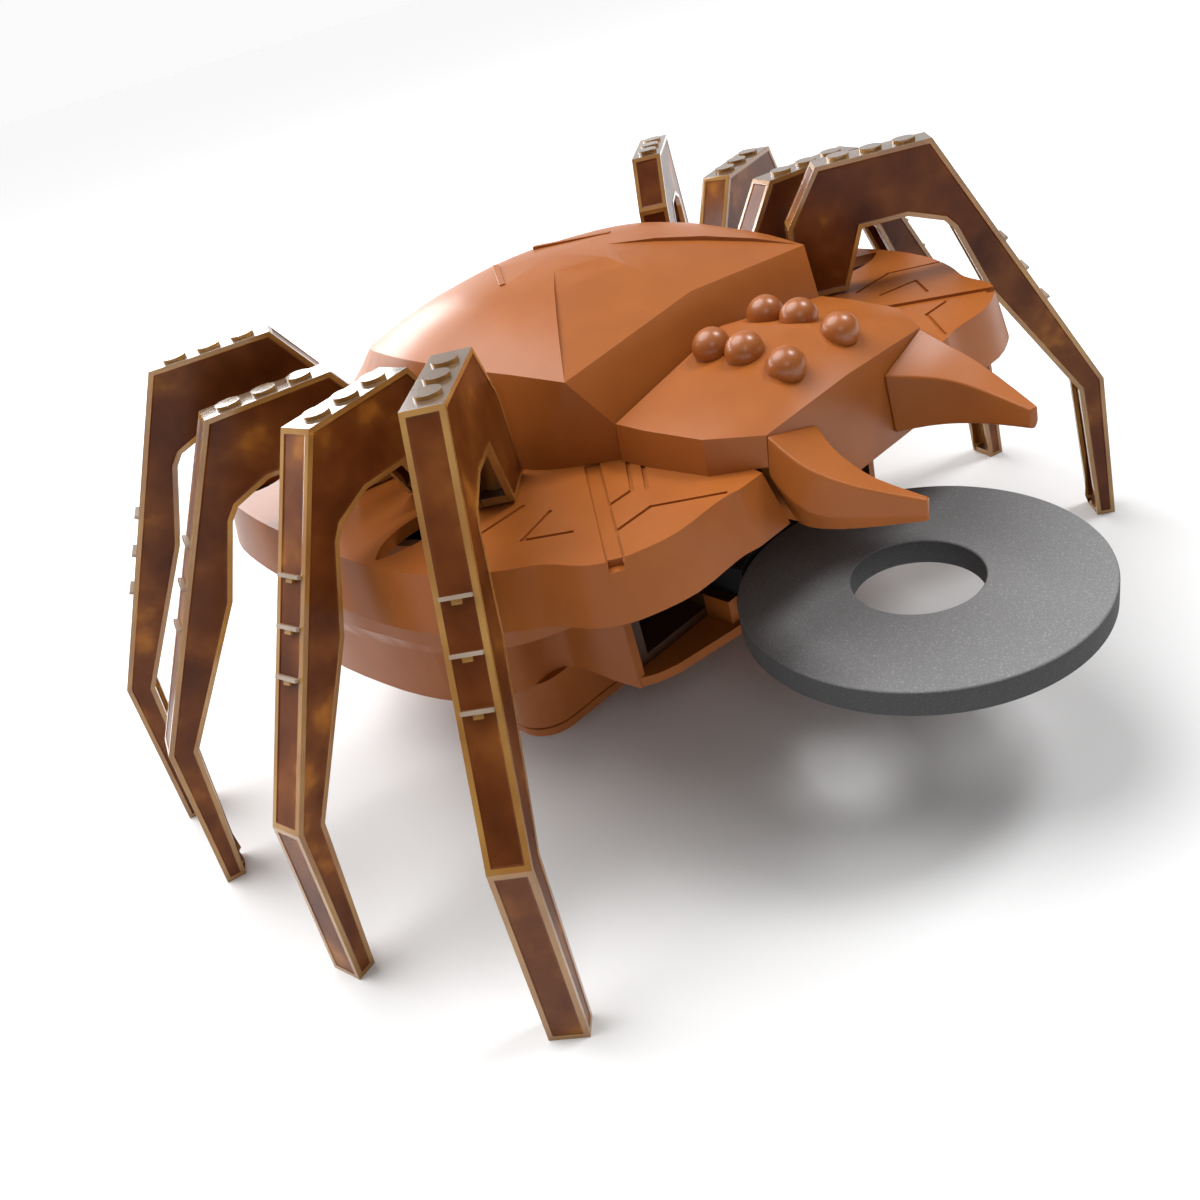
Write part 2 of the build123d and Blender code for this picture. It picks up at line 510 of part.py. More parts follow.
# ================================================================ launch tray, pusher and ring
tray_front = front_y + WALL
tray = block(-TRAY_IN - TRAY_WALL, TRAY_IN + TRAY_WALL, tray_front, TRAY_BACK, floor, MOUTH_FLOOR)
tray += block(-TRAY_IN, TRAY_IN, TRAY_BACK - TRAY_WALL, TRAY_BACK, MOUTH_FLOOR, TRAY_CEILING)
tray += block(-TRAY_IN, TRAY_IN, tray_front, TRAY_BACK, MOUTH_TOP, TRAY_CEILING)
for s in (1, -1):
    inner, outer = sorted((s * TRAY_IN, s * (TRAY_IN + TRAY_WALL)))
    tray += block(inner, outer, tray_front, TRAY_BACK, MOUTH_FLOOR, LEDGE_TOP)
    inner, outer = sorted((s * TRAY_IN, s * LEDGE_OUT))
    tray += block(inner, outer, BAR_FRONT - 1, BAR_BACK + 1, LEDGE_TOP - TRAY_WALL, LEDGE_TOP)
    inner, outer = sorted((s * rail_in, s * rail_out))
    tray += block(inner, outer, tray_front, TRAY_BACK, MOUTH_FLOOR, RAIL_TOP)
    for y in (BOARD_FRONT + BOARD_INSET, BOARD_BACK - BOARD_INSET):
        tray += rod(s * (BOARD_HALF - BOARD_INSET), y, TRAY_CEILING, BOARD_Z, BOARD_POST_R)
put("launch_tray", tray)

ring_top = RING_Z + RING_THICK
ring = rod(0, RING_Y, RING_Z, ring_top, RING_R) - rod(0, RING_Y, RING_Z, ring_top, RING_HOLE_R)
put("foam_ring", ring)
pusher_front = RING_Y + RING_R - PUSHER_HUG
pusher = block(-PUSHER_HALF, PUSHER_HALF, pusher_front, PUSHER_BACK, PUSHER_LOW, PUSHER_TOP)
put("ring_pusher", pusher - rod(0, RING_Y, PUSHER_LOW, PUSHER_TOP, RING_R + GAP))

# ================================================================ leg drive, one bank on each side
bar_top = BAR_LOW + BAR_THICK


def bar_slot(x, y):
    return Pos(x, y, BAR_LOW + BAR_THICK / 2) * Box(SLOT_LONG, 2 * (PIN_R + PIN_PLAY), BAR_THICK)


for side_name, side in SIDES:
    x0, x1 = sorted((side * BAR_IN, side * BAR_OUT))
    bar = block(x0, x1, BAR_FRONT, BAR_BACK, BAR_LOW, bar_top)
    pins = []
    for index in range(LEG_COUNT):
        px, py = pivots[side_name, index]
        pin_x = px + lever_reach(index, side)
        pins.append((pin_x, py))
        if index % 2:
            x0, x1 = sorted((side * BAR_OUT, pin_x + side * (BAR_LUG)))
            bar += block(x0, x1, py - BAR_LUG, py + BAR_LUG, BAR_LOW, bar_top)
    pins.append((side * (SERVO_X - LEVER_REACH), SERVO_Y))
    for x, y in pins:
        bar -= bar_slot(x, y)
    put(f"shift_bar_{side_name}", bar)

    sx = side * SERVO_X
    sy = SERVO_Y + SERVO_OFFSET
    servo = block(sx - SERVO_WIDE / 2, sx + SERVO_WIDE / 2, sy - SERVO_LONG / 2, sy + SERVO_LONG / 2,
                  floor, SERVO_TOP)
    servo -= rod(sx, SERVO_Y, SERVO_TOP - SHAFT_DEEP - 2 * GAP, SERVO_TOP, SHAFT_R + POST_PLAY)
    put(f"leg_servo_{side_name}", servo)
    hx = sx - side * LEVER_REACH
    horn_top = HORN_LOW + HORN_THICK
    half = PIN_R + PIN_BOSS
    horn = rod(sx, SERVO_Y, HORN_LOW, horn_top, HORN_HUB_R) + rod(hx, SERVO_Y, HORN_LOW, horn_top, half)
    horn += block(min(sx, hx), max(sx, hx), SERVO_Y - half, SERVO_Y + half, HORN_LOW, horn_top)
    horn += rod(sx, SERVO_Y, SERVO_TOP - SHAFT_DEEP, HORN_LOW, SHAFT_R)
    horn += rod(hx, SERVO_Y, horn_top, bar_top - GAP, PIN_R)
    put(f"servo_horn_{side_name}", horn)

# ================================================================ control board and switch
board_top = BOARD_Z + BOARD_THICK
board = block(-BOARD_HALF, BOARD_HALF, BOARD_FRONT, BOARD_BACK, BOARD_Z, board_top)
put("control_board", board)
chips = [Pos(x, y, board_top + tall / 2) * Box(wide, long, tall) for x, y, wide, long, tall in BOARD_PARTS]
put("board_parts", *chips)
switch_in = back_y - WALL - SWITCH_SET_BACK
body = block(-SWITCH_HALF - SWITCH_RIM, SWITCH_HALF + SWITCH_RIM, switch_in - SWITCH_LONG, switch_in,
             switch_low - SWITCH_RIM, switch_high + SWITCH_RIM)
body -= block(-SWITCH_HALF, SWITCH_HALF, switch_in - KNOB_DEEP, switch_in, switch_low, switch_high)
put("switch_body", body)
knob_half = SWITCH_HALF - SWITCH_PLAY - GAP
knob = block(-knob_half, knob_half, switch_in - KNOB_DEEP + GAP, back_y + KNOB_PROUD, switch_low + GAP,
             switch_high - GAP)
put("switch_knob", knob)

# ================================================================ dome
def bands(low, high):
    """Triangles between two rings with the same count; repeated points make single triangles."""
    loops, count = [], len(low)
    for i in range(count):
        j = (i + 1) % count
        if low[i] != low[j]:
            loops.append([low[i], low[j], high[j]])
        if high[i] != high[j]:
            loops.append([low[i], high[j], high[i]])
    return loops


def on_crown(rest, crown):
    """Point on the crown's edge: 0 is its first corner, 1 the next, and so on."""
    start = min(int(rest), len(crown) - 2)
    t = rest - start
    return tuple((1 - t) * a + t * b for a, b in zip(crown[start], crown[start + 1]))


def dome_skin(shrink, floor_z):
    """Domed cover; shrink pulls its whole surface inwards towards the middle of the base."""
    def pull(p):
        x, y, z = p
        reach = (x * x + (y - DOME_MIDDLE) ** 2) ** 0.5
        k = 1 - shrink / reach if reach > shrink else 0.0
        return (x * k, DOME_MIDDLE + (y - DOME_MIDDLE) * k, max(floor_z, z - shrink))

    foot, skirt, shoulder = ([pull(p) for p in flowing(ring, DOME_SHARP, FLOW_STEPS)] for ring in (
        [(x, y, floor_z + shrink) for x, y in DOME_FOOT], DOME_SKIRT, DOME_SHOULDER))
    crown = [pull(p) for p in CROWN]
    rests = list(CROWN_REST[:DOME_SHARP])
    for start, end in zip(CROWN_REST[DOME_SHARP:], CROWN_REST[DOME_SHARP + 1:]):
        rests += [start + (end - start) * k / FLOW_STEPS for k in range(FLOW_STEPS)]
    edge = [on_crown(rest, crown) for rest in rests + [CROWN_REST[-1]]]
    rings = [foot, skirt]
    for step in range(FLANK_STEPS + 1):
        v = step / FLANK_STEPS
        rings.append([])
        for i, (low, high) in enumerate(zip(shoulder, edge)):
            swell = 4 * v * (1 - v) * DOME_BULGE * min(1.0, i / DOME_SHARP)
            rings[-1].append(tuple(a + (b - a) * v + rise for a, b, rise in zip(low, high, (0, 0, swell))))
    half = []
    for low, high in zip(rings, rings[1:]):
        for i in range(len(low) - 1):
            if low[i] != low[i + 1]:
                half.append([low[i], low[i + 1], high[i + 1]])
            if high[i] != high[i + 1]:
                half.append([low[i], high[i + 1], high[i]])
    peak = pull(CROWN_PEAK)
    last = rings[-1]
    half += [[a, b, peak] for a, b in zip(last, last[1:]) if a != b]
    loops = [list(reversed(both_halves(foot)))]
    for triangle in half:
        loops += [triangle, [(-x, y, z) for x, y, z in reversed(triangle)]]
    return facets(loops)


dome = dome_skin(0, DECK_TOP)
(ax, ay, az), (bx, by, bz) = CROWN[1], CROWN[2]
rib = Box(((bx - ax) ** 2 + (by - ay) ** 2) ** 0.5, RIB_WIDE, 2 * RIB_SUNK)
rib = Rot(0, 0, degrees(atan2(by - ay, bx - ax))) * rib
rib = Pos((ax + bx) / 2, (ay + by) / 2, (az + bz) / 2 + CROWN_LIFT - RIB_SUNK) * rib
dome += rib
dome += mirrored(rib)
dome -= dome_skin(DOME_WALL, DECK_TOP)
put("abdomen_dome", dome)

# ================================================================ head, chin and eyes
def head_skin(shrink):
    def pull(p):
        x, y, z = p
        y_mid = (HEAD_SIDE[0][1] + HEAD_SIDE[-1][1]) / 2
        y_half = (HEAD_SIDE[0][1] - HEAD_SIDE[-1][1]) / 2
        kx, ky = 1 - shrink / HEAD_HALF, 1 - shrink / y_half
        return (x * kx, y_mid + (y - y_mid) * ky, max(DECK_TOP, z - shrink))
    foot = both_halves([(0, HEAD_SIDE[0][1], DECK_TOP)] + [(x, y, DECK_TOP) for x, y in HEAD_FOOT]
                   + [(0, HEAD_SIDE[-1][1], DECK_TOP)])
    side = [pull(p) for p in HEAD_SIDE]
    crest = [pull(p) for p in HEAD_CREST]
    foot = [pull((x, y, DECK_TOP + shrink)) for x, y, z in foot]
    top = both_halves([crest[0]] + side + [crest[2]])
    loops = [list(foot), *bands(foot, top)]
    near = [[crest[0], side[0], side[1]], [crest[0], side[1], crest[1]], [crest[1], side[1], side[2]],
             [crest[1], side[2], side[3]], [crest[1], side[3], crest[2]]]
    for tri in near:
        loops.append(tri)
        loops.append([(-x, y, z) for x, y, z in reversed(tri)])
    return facets(loops)


head = head_skin(0) - head_skin(HEAD_WALL)
chin_front = HEAD_SIDE[-1][1]
(chin_low_x, chin_low_z), (chin_high_x, chin_high_z) = CHIN
chin_loop = [(-chin_low_x, chin_low_z), (chin_low_x, chin_low_z), (chin_high_x, chin_high_z),
             (-chin_high_x, chin_high_z)]
head += side_plate(chin_loop, chin_front, chin_front + CHIN_THICK)
put("head_cover", head)

beads = []
for x, y, z in EYES:
    for s in (1, -1):
        beads.append(Pos(s * x, y, z) * Sphere(EYE_R) - head_skin(0))
put("eye_beads", *beads)

# ================================================================ fangs
sections = []
for i in range(len(FANG) - 1):
    before, after = FANG[max(i - 1, 0)], FANG[min(i + 2, len(FANG) - 1)]
    for k in range(FANG_STEPS):
        sections.append([blend(*stations, k / FANG_STEPS)
                         for stations in zip(before, FANG[i], FANG[i + 1], after)])
sections.append([tuple(p) for p in FANG[-1]])
fang_loops = [list(reversed(sections[0])), sections[-1]]
for near, far in zip(sections, sections[1:]):
    fang_loops += bands(near, far)
fang = facets(fang_loops)
put("fang_left", fang)
put("fang_right", mirrored(fang))
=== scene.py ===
import json
import math

import bmesh
import bpy
from mathutils import Matrix, Vector


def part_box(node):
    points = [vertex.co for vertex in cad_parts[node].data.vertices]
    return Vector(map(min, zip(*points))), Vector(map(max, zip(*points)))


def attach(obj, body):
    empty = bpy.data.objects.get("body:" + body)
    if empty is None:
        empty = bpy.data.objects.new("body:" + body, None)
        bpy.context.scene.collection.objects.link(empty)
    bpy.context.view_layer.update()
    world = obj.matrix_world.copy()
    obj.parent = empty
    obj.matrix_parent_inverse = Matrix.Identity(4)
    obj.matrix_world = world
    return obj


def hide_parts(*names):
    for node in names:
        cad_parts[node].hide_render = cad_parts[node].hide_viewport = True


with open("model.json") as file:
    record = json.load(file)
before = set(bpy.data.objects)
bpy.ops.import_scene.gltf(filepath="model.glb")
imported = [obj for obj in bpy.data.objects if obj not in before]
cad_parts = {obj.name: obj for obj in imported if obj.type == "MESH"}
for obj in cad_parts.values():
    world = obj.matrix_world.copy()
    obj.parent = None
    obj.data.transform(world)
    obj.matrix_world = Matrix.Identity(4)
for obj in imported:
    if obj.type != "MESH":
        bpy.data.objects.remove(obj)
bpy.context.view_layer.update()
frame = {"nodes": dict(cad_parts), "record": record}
MM = 0.001
nodes = frame["nodes"]


# ---------------------------------------------------------------- material helpers
GRAIN_DEPTH, CELL_DEPTH = 0.04 * MM, 0.12 * MM      # relief of a moulding's grain and of foam cells
MIX_A, MIX_B, MIX_RESULT = 6, 7, 2                  # colour sockets of a Mix node


def new_material(name):
    """A material of one Principled shader, with its node tree and the shader."""
    mat = bpy.data.materials.new(name)
    mat.use_nodes = True
    tree = mat.node_tree
    tree.nodes.clear()
    out = tree.nodes.new("ShaderNodeOutputMaterial")
    shader = tree.nodes.new("ShaderNodeBsdfPrincipled")
    tree.links.new(shader.outputs[0], out.inputs[0])
    return mat, tree, shader


def set_sockets(shader, values):
    """Plain values on the shader's own sockets."""
    for socket, value in values.items():
        shader.inputs[socket].default_value = value


def texture_space(tree):
    """Object coordinates in millimetres."""
    coords = tree.nodes.new("ShaderNodeTexCoord")
    mapping = tree.nodes.new("ShaderNodeMapping")
    mapping.inputs["Scale"].default_value = (1 / MM,) * 3
    tree.links.new(coords.outputs["Object"], mapping.inputs[0])
    return mapping.outputs[0]


def noise(tree, space, scale, detail=3.0, rough=0.55):
    """Cloudy pattern with about that many features to the millimetre."""
    cloud = tree.nodes.new("ShaderNodeTexNoise")
    set_sockets(cloud, {"Scale": scale, "Detail": detail, "Roughness": rough})
    tree.links.new(space, cloud.inputs["Vector"])
    return cloud.outputs[0]


def ramp(tree, value, stops):
    """Colour ramp through (position, colour) stops in rising order."""
    node = tree.nodes.new("ShaderNodeValToRGB")
    elements = node.color_ramp.elements
    for element, (position, colour) in ((elements[0], stops[0]), (elements[1], stops[-1])):
        element.position, element.color = position, (*colour, 1)
    for position, colour in stops[1:-1]:
        elements.new(position).color = (*colour, 1)
    tree.links.new(value, node.inputs[0])
    return node.outputs[0]


def remap(tree, value, low, high):
    """A 0 to 1 value spread between low and high."""
    node = tree.nodes.new("ShaderNodeMapRange")
    set_sockets(node, {"To Min": low, "To Max": high})
    tree.links.new(value, node.inputs[0])
    return node.outputs[0]


def bump(tree, shader, height, strength, distance):
    """Relief on the shader's normal."""
    node = tree.nodes.new("ShaderNodeBump")
    set_sockets(node, {"Strength": strength, "Distance": distance})
    tree.links.new(height, node.inputs["Height"])
    tree.links.new(node.outputs[0], shader.inputs["Normal"])


def colour_drift(tree, shader, pattern, stops):
    """Base colour that wanders between the stops; pattern is noise's scale, detail and roughness."""
    space = texture_space(tree)
    tree.links.new(ramp(tree, noise(tree, space, *pattern), stops), shader.inputs["Base Color"])
    return space


def gloss_grain(tree, shader, space, pattern, low, high):
    """Roughness that varies finely between low and high; gives the noise back for a relief."""
    fine = noise(tree, space, *pattern)
    tree.links.new(remap(tree, fine, low, high), shader.inputs["Roughness"])
    return fine


def grained(name, dark, light, rough, grain=0.25, coat=0.0, coat_rough=0.2, grain_scale=5.0, gloss=0.5):
    """Moulded plastic: slow colour drift, fine grain in gloss and relief."""
    mat, tree, shader = new_material(name)
    space = colour_drift(tree, shader, (0.12, 2.0), ((0.3, dark), (0.7, light)))
    fine = gloss_grain(tree, shader, space, (grain_scale, 4.0, 0.65), rough - 0.05, rough + 0.06)
    bump(tree, shader, fine, grain, GRAIN_DEPTH)
    set_sockets(shader, {"Coat Weight": coat, "Coat Roughness": coat_rough, "Specular IOR Level": gloss})
    return mat


def smoked(name, colour, deep, rough, transmit, coat):
    """Clear amber moulding in the given colours, which for the legs carry painted glow, sheen and highlight."""
    mat, tree, shader = new_material(name)
    space = colour_drift(tree, shader, (0.09, 2.0), ((0.3, deep), (0.72, colour)))
    fine = gloss_grain(tree, shader, space, (2.2, 3.0, 0.6), rough - 0.03, rough + 0.05)
    bump(tree, shader, fine, 0.08, GRAIN_DEPTH)
    set_sockets(shader, {"Transmission Weight": transmit, "IOR": 1.5, "Coat Weight": coat, "Coat Roughness": 0.08})
    return mat


def amber_core(name):
    """Dark red-brown inside of a leg with stray orange glints painted into its colour, under a faint gloss."""
    mat, tree, shader = new_material(name)
    # painted glints: the last, orange stop stands for light caught inside the amber
    space = colour_drift(tree, shader, (0.11, 3.0, 0.5),
                         ((0.30, (0.085, 0.021, 0.004)), (0.50, (0.155, 0.040, 0.008)),
                          (0.62, (0.22, 0.068, 0.014)), (0.74, (0.50, 0.18, 0.026))))
    fine = gloss_grain(tree, shader, space, (2.0, 3.0, 0.6), 0.24, 0.36)
    bump(tree, shader, fine, 0.06, GRAIN_DEPTH)
    set_sockets(shader, {"Transmission Weight": 0.15, "IOR": 1.45, "Specular IOR Level": 0.15,
                         "Coat Weight": 0.03, "Coat Roughness": 0.10})
    return mat


def plain_metal(name, colour, rough):
    """Bare metal with a slightly uneven gloss."""
    mat, tree, shader = new_material(name)
    set_sockets(shader, {"Base Color": (*colour, 1), "Metallic": 1.0})
    gloss_grain(tree, shader, texture_space(tree), (3.0, 3.0), rough - 0.06, rough + 0.08)
    return mat


def speckled(name, base, speck, rough, side_tone):
    """Closed-cell foam: fine pale specks with a soft relief, its sides darker than its top and bottom."""
    mat, tree, shader = new_material(name)
    space = texture_space(tree)
    colour = ramp(tree, noise(tree, space, 5.0, 2.0, 0.7), ((0.55, base), (0.72, speck)))
    coords = tree.nodes.new("ShaderNodeTexCoord")
    axes = tree.nodes.new("ShaderNodeSeparateXYZ")
    tree.links.new(coords.outputs["Normal"], axes.inputs[0])
    level = tree.nodes.new("ShaderNodeMath")
    level.operation = "ABSOLUTE"
    tree.links.new(axes.outputs[2], level.inputs[0])
    side_factor = ramp(tree, level.outputs[0], ((0.2, (side_tone,) * 3), (0.9, (1, 1, 1))))
    shade = tree.nodes.new("ShaderNodeMix")
    shade.data_type, shade.blend_type = "RGBA", "MULTIPLY"
    shade.inputs["Factor"].default_value = 1.0
    tree.links.new(colour, shade.inputs[MIX_A])
    tree.links.new(side_factor, shade.inputs[MIX_B])
    tree.links.new(shade.outputs[MIX_RESULT], shader.inputs["Base Color"])
    shader.inputs["Roughness"].default_value = rough
    bump(tree, shader, noise(tree, space, 2.6, 4.0, 0.6), 0.45, CELL_DEPTH)
    return mat


# ---------------------------------------------------------------- materials
ORANGE_DARK, ORANGE_LIGHT = (0.305, 0.086, 0.0145), (0.34, 0.099, 0.018)

body_mat = grained("orange body", ORANGE_DARK, ORANGE_LIGHT, 0.36, 0.22, coat=0.07, coat_rough=0.25,
                   grain_scale=3.2, gloss=0.24)
eye_mat = grained("eye beads", ORANGE_DARK, ORANGE_LIGHT, 0.33, 0.10, coat=0.18)
# painted shade: dark brown for the hull's and deck's faces that lie in shade inside the body
inside_shade_mat = grained("shaded inside", (0.050, 0.017, 0.005), (0.062, 0.022, 0.006), 0.5, 0.1, gloss=0.2)
# painted shade: the tray's dark brown stands for the shade inside the mouth
tray_shade_mat = grained("tray painted shade", (0.055, 0.020, 0.008), (0.07, 0.026, 0.010), 0.42, 0.2)
leg_core = amber_core("leg core")
# painted glow: golden colour of the rims, standing for light that shines through the leg's thin clear edges
leg_edge_glow = smoked("leg edge painted glow", (0.60, 0.32, 0.085), (0.38, 0.16, 0.035), 0.12, 0.30, coat=0.5)
# painted sheen: greyish brown on the legs' level tops, for the light they catch from above
leg_top_sheen = smoked("leg top painted sheen", (0.20, 0.125, 0.075), (0.11, 0.06, 0.03), 0.22, 0.25, coat=0.6)
# painted highlight: pale colour of the rungs' ledges, for the light on their top sides
rung_highlight = smoked("rung painted highlight", (0.52, 0.42, 0.33), (0.34, 0.24, 0.16), 0.14, 0.20, coat=0.6)
foam_mat = speckled("foam", (0.175, 0.175, 0.178), (0.32, 0.32, 0.325), 0.8, side_tone=0.30)
black_mat = grained("black moulding", (0.018, 0.018, 0.019), (0.024, 0.024, 0.025), 0.45)
servo_mat = grained("blue moulding", (0.012, 0.03, 0.10), (0.016, 0.04, 0.13), 0.35)
board_mat = grained("solder mask", (0.004, 0.05, 0.02), (0.006, 0.07, 0.03), 0.3)
cell_mat = grained("cell jacket", (0.06, 0.06, 0.065), (0.08, 0.08, 0.085), 0.25, 0.05)
steel_mat = plain_metal("plated steel", (0.62, 0.61, 0.58), 0.3)

paint = {
    "foam": foam_mat, "body_plastic": body_mat, "tray_plastic": tray_shade_mat, "inner_plastic": black_mat,
    "servo_plastic": servo_mat, "circuit_board": board_mat, "chip": black_mat, "cell_jacket": cell_mat,
    "contact_metal": steel_mat, "screw_steel": steel_mat, "leg_plastic": leg_core,
}
slot_of = {p["node"]: p["material_slot"] for p in frame["record"]["subparts"]}

for name, obj in nodes.items():
    obj.data.materials.clear()
    obj.data.materials.append(eye_mat if name == "eye_beads" else paint[slot_of[name]])


# ---------------------------------------------------------------- rounded edges on the CAD pieces
WELD_GAP, FLAT_ANGLE = 0.004 * MM, math.radians(0.6)
ROUND_STEPS, ROUND_ANGLE = 3, math.radians(28)
ROUND_WIDTHS = {    # in millimetres
    "abdomen_dome": 0.6, "head_cover": 0.5, "upper_deck": 0.35, "lower_shell": 0.3, "fang_left": 0.3,
    "fang_right": 0.3, "battery_door": 0.3, "launch_tray": 0.2, "ring_pusher": 0.2, "switch_knob": 0.15,
}


def shade_smooth(mesh):
    mesh.polygons.foreach_set("use_smooth", [True] * len(mesh.polygons))


def soften(obj, width):
    """Rounded edges and smooth flanks on a CAD piece by modifiers only."""
    shade_smooth(obj.data)
    weld = obj.modifiers.new("weld", "WELD")
    weld.merge_threshold = WELD_GAP
    flat = obj.modifiers.new("flat", "DECIMATE")
    flat.decimate_type = "DISSOLVE"
    flat.angle_limit = FLAT_ANGLE
    bevel = obj.modifiers.new("round", "BEVEL")
    bevel.width = width
    bevel.segments = ROUND_STEPS
    bevel.limit_method = "ANGLE"
    bevel.angle_limit = ROUND_ANGLE
    even = obj.modifiers.new("even", "WEIGHTED_NORMAL")
    even.mode = "FACE_AREA_WITH_ANGLE"


for name, width in ROUND_WIDTHS.items():
    soften(nodes[name], width * MM)
shade_smooth(nodes["eye_beads"].data)


# ---------------------------------------------------------------- painted shade inside hull and deck
MIDDLE_Y = 10 * MM                                  # inward is towards this line across the body
HULL_FLOOR, HULL_SHELF = 20 * MM, 22 * MM
DECK_UNDER, DECK_TOP = 50.2 * MM, 52.0 * MM
DECK_SLACK, SLOT_MARGIN = 0.1 * MM, 0.6 * MM
NOTCH_Y = -15 * MM                                  # the rim's notch lies in front of this and stays orange
STEEP, LEVEL_SIDE = 0.6, 0.5                        # upward part of a wall's normal, and of a floor's
BODY_SLOT, INSIDE_SLOT = 0, 1


def faces_in(obj, face):
    """True for a face that looks inward, for the hull's shelves, the deck's underside and its slot walls; these
    faces take the painted shade.
    """
    place = obj.matrix_world @ face.center
    steep = abs(face.normal.z) < STEEP
    inward = steep and Vector((place.x, place.y - MIDDLE_Y, 0)).dot(face.normal) < 0
    if obj == nodes["lower_shell"]:
        shelf = face.normal.z > LEVEL_SIDE and place.z > HULL_SHELF
        return inward and place.z > HULL_FLOOR or shelf
    slot_wall = steep and DECK_UNDER + SLOT_MARGIN < place.z < DECK_TOP - SLOT_MARGIN and place.y > NOTCH_Y
    underside = face.normal.z < -LEVEL_SIDE and place.z > DECK_UNDER - DECK_SLACK
    return slot_wall or underside or inward and place.z < DECK_UNDER


for name in ("lower_shell", "upper_deck"):
    obj = nodes[name]
    obj.data.materials.append(inside_shade_mat)
    for face in obj.data.polygons:
        face.material_index = INSIDE_SLOT if faces_in(obj, face) else BODY_SLOT


# ---------------------------------------------------------------- objects of the scene's own
def place_in_scene(name, data):
    """A new object of that mesh, light or camera."""
    obj = bpy.data.objects.new(name, data)
    bpy.context.scene.collection.objects.link(obj)
    return obj


def object_from(bm, label, materials):
    """A new object with the bmesh's shape; the bmesh is freed."""
    mesh = bpy.data.meshes.new(label)
    bm.to_mesh(mesh)
    bm.free()
    for mat in materials:
        mesh.materials.append(mat)
    return place_in_scene(label, mesh)


# ---------------------------------------------------------------- legs: rims in a painted golden glow round dark panels
# material slots: dark core, rim in a painted golden glow, level top in a painted sheen, rung in a painted
# highlight
LEG_MATERIALS = (leg_core, leg_edge_glow, leg_top_sheen, rung_highlight)
CORE, EDGE, TOP, RUNG = range(4)
RIM, SECOND_RIM, RELIEF = 0.72 * MM, 0.22 * MM, 0.10 * MM
BIG_FACE, SMALL_FACE = 6.0 * MM * MM, 1.5 * MM * MM     # least area with a rim, and with a sunk panel
SLIM = 1.05 * MM                                        # a face slimmer than this has no rim
LEVEL = 0.95                                            # upward part of a normal that counts as a level top
EDGE_ANGLE, EDGE_LONG = math.radians(35), 1.2 * MM      # sharper and longer edges are rounded
EDGE_ROUND, EDGE_STEPS = 0.18 * MM, 2
MERGE_GAP, MERGE_ANGLE = 0.06 * MM, math.radians(1.0)
RUNG_WIDE, RUNG_SINK = 3.9 * MM, 0.15 * MM
RUNG_LOOK, RUNG_APART = 0.5 * MM, 2 * MM                # rung tips stand out this far; rungs lie this far apart
PEG_WIDE, PEG_LONG, PEG_PROUD = 1.2 * MM, 0.6 * MM, 0.35 * MM
ON_CUT, ON_PLANE, ON_SIDE = 0.002 * MM, 0.01 * MM, 0.05 * MM


def box_between(bm, centre, axes, sizes, material):
    """Box with the given full sizes along three unit axes."""
    turn = Matrix(axes).transposed().to_4x4()
    place = Matrix.Translation(centre) @ turn @ Matrix.Diagonal((*sizes, 1.0))
    corners = bmesh.ops.create_cube(bm, size=1.0, matrix=place)["verts"]
    faces = list({face for corner in corners for face in corner.link_faces})
    for face in faces:
        face.material_index = material
    bmesh.ops.recalc_face_normals(bm, faces=faces)


def shank_plane(bm):
    """A point of the shank's front face, and the directions across it, down it and out of it."""
    shank = max((f for f in bm.faces if 0.2 < f.normal.z < 0.9), key=lambda f: f.calc_area())
    out, spot = shank.normal.copy(), shank.verts[0].co.copy()
    across = out.cross(Vector((0, 0, 1))).normalized()
    down = across.cross(out).normalized()
    return spot, (across, -down if down.z > 0 else down, out)


def take_rungs(bm):
    """Cut the rungs off a leg's shank, close the shank, and say where they sat."""
    spot, axes = shank_plane(bm)
    across, down, out = axes
    level = spot.dot(out)
    tips = [v.co for v in bm.verts if (v.co - spot).dot(out) > RUNG_LOOK]
    proud = max((tip - spot).dot(out) for tip in tips)
    sides = [tip.dot(across) for tip in tips]
    middle, half = (max(sides) + min(sides)) / 2, (max(sides) - min(sides)) / 2
    groups = []
    for height in sorted(tip.dot(down) for tip in tips):
        if groups and height - groups[-1][0] < RUNG_APART:
            groups[-1].append(height)
        else:
            groups.append([height])
    everything = list(bm.verts) + list(bm.edges) + list(bm.faces)
    bmesh.ops.bisect_plane(bm, geom=everything, dist=ON_CUT, plane_co=spot, plane_no=out, clear_outer=True)
    bmesh.ops.holes_fill(bm, edges=[e for e in bm.edges if e.is_boundary], sides=0)
    close_shank(bm, axes, level, middle, half)
    rungs = [(across * middle + down * (g[0] + g[-1]) / 2 + out * level, g[-1] - g[0]) for g in groups]
    return rungs, proud, axes


def close_shank(bm, axes, level, middle, half):
    """One face in place of all that lie in the shank's plane, through the vertices along its two sides."""
    across, down, out = axes
    flush = [v for v in bm.verts if abs(v.co.dot(out) - level) < ON_PLANE]
    old = [f for f in bm.faces if all(abs(v.co.dot(out) - level) < ON_PLANE for v in f.verts)]
    bmesh.ops.delete(bm, geom=old, context="FACES_ONLY")
    bmesh.ops.delete(bm, geom=[e for e in bm.edges if not e.link_faces], context="EDGES")
    rows = {-1: [], 1: []}
    for vert in (v for v in flush if v.is_valid):
        place = vert.co.dot(across) - middle
        if abs(place) > half - ON_SIDE:
            rows[1 if place > 0 else -1].append(vert)
    near, far = (sorted(rows[k], key=lambda v: v.co.dot(down)) for k in (-1, 1))
    bm.faces.new(near + far[::-1])
    bmesh.ops.recalc_face_normals(bm, faces=bm.faces)


